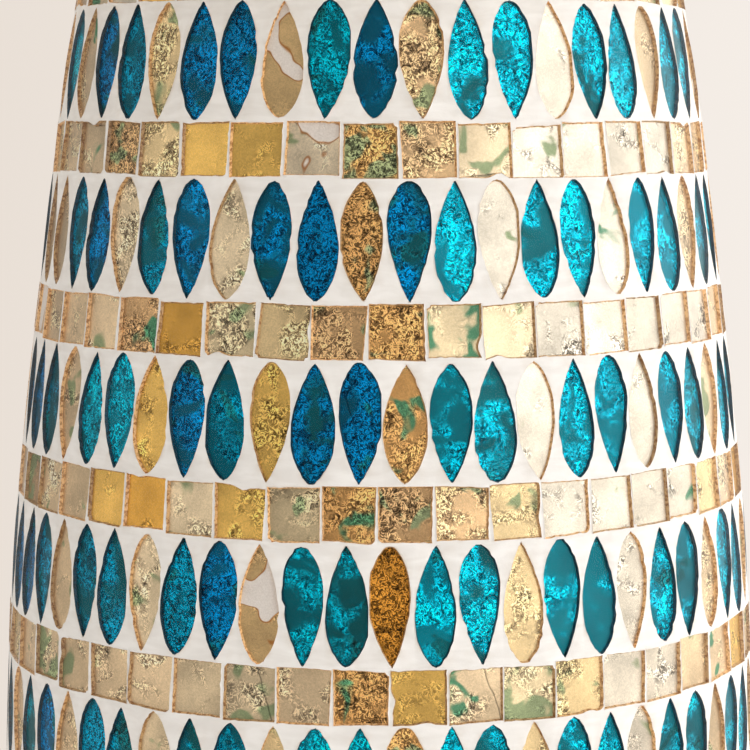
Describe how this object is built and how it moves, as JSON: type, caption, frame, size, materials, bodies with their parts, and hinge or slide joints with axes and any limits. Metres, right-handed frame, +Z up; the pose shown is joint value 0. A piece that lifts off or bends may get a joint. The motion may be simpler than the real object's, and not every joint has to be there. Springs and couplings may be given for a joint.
{
  "type": "mosaic glass table lamp",
  "caption": "Table lamp with a tapering body clad in leaf and square glass tesserae, keyed holder, harp, drum shade and finial.",
  "frame": {"origin": "centre of the felt pad's underside, where the lamp rests", "axes": "+Z up along the tube, +Y towards the cord inlet at the back, +X to the right seen from the front"},
  "size_m": [0.4, 0.4, 0.7317],
  "materials": {
    "antique_brass": "antiqued, satin",
    "bright_brass": "polished",
    "steel": "zinc plated",
    "iron": "as cast",
    "vessel_glass": "clear blown glass",
    "mosaic": "hand-cut transparent teal and gold glass over crumpled foil",
    "gold_mosaic": "hand-cut pale gold glass over crumpled foil",
    "grout": "white sanded grout, wiped smooth",
    "felt": "felt",
    "phenolic": "moulded, black",
    "card": "waxed card",
    "linen": "plain-weave linen over styrene",
    "white_plastic": "moulded, white",
    "opal": "opal glass"
  },
  "bodies": {
    "root": {"felt_pad": "felt", "foot_shell": "antique_brass", "neck_cap": "antique_brass", "cord_inlet_bushing": "phenolic", "holder_block": "phenolic", "counterweight": "iron", "foot_washer": "steel", "foot_nut": "steel", "tube": "steel", "centring_plug": "steel", "foot_collar": "bright_brass", "neck_spacer": "bright_brass", "harp_saddle": "bright_brass", "harp_loop": "bright_brass", "harp_stud": "bright_brass", "holder_cap": "bright_brass", "holder_shell": "bright_brass", "centre_contact": "bright_brass", "screw_shell": "bright_brass", "grout_bed": "grout", "glass_vessel": "vessel_glass", "leaf_course_01": "mosaic", "leaf_course_02": "mosaic", "leaf_course_03": "mosaic", "leaf_course_04": "mosaic", "leaf_course_05": "mosaic", "leaf_course_06": "mosaic", "leaf_course_07": "mosaic", "leaf_course_08": "mosaic", "leaf_course_09": "mosaic", "leaf_course_10": "mosaic", "square_course_01": "gold_mosaic", "square_course_02": "gold_mosaic", "square_course_03": "gold_mosaic", "square_course_04": "gold_mosaic", "square_course_05": "gold_mosaic", "square_course_06": "gold_mosaic", "square_course_07": "gold_mosaic", "square_course_08": "gold_mosaic", "square_course_09": "gold_mosaic", "square_course_10": "gold_mosaic", "square_course_11": "gold_mosaic", "insulating_sleeve": "card"},
    "key": {"switch_shaft": "bright_brass", "switch_key": "bright_brass"},
    "bulb": {"bulb_cap": "steel", "bulb_collar": "white_plastic", "bulb_globe": "opal"},
    "shade": {"shade_drum": "linen", "shade_top_ring": "steel", "shade_bottom_ring": "steel", "shade_spider": "bright_brass"},
    "finial": {"finial": "antique_brass"},
    "left_ferrule": {"ferrule_left": "bright_brass"},
    "right_ferrule": {"ferrule_right": "bright_brass"}
  },
  "joints": [
    {"name": "key_turn", "type": "hinge", "parent": "root", "child": "key", "pos_m": [0, -0.03, 0.501], "axis": [0, -1, 0], "continuous": true},
    {"name": "bulb_turn", "type": "hinge", "parent": "root", "child": "bulb", "pos_m": [0, 0, 0.525], "axis": [0, 0, 1], "continuous": true},
    {"name": "shade_turn", "type": "hinge", "parent": "root", "child": "shade", "pos_m": [0, 0, 0.692], "axis": [0, 0, 1], "continuous": true},
    {"name": "finial_turn", "type": "hinge", "parent": "root", "child": "finial", "pos_m": [0, 0, 0.7], "axis": [0, 0, 1], "continuous": true},
    {"name": "left_ferrule_lift", "type": "slide", "parent": "root", "child": "left_ferrule", "axis": [0, 0, 1], "range_m": [0, 0.01]},
    {"name": "right_ferrule_lift", "type": "slide", "parent": "root", "child": "right_ferrule", "axis": [0, 0, 1], "range_m": [0, 0.01]}
  ]
}
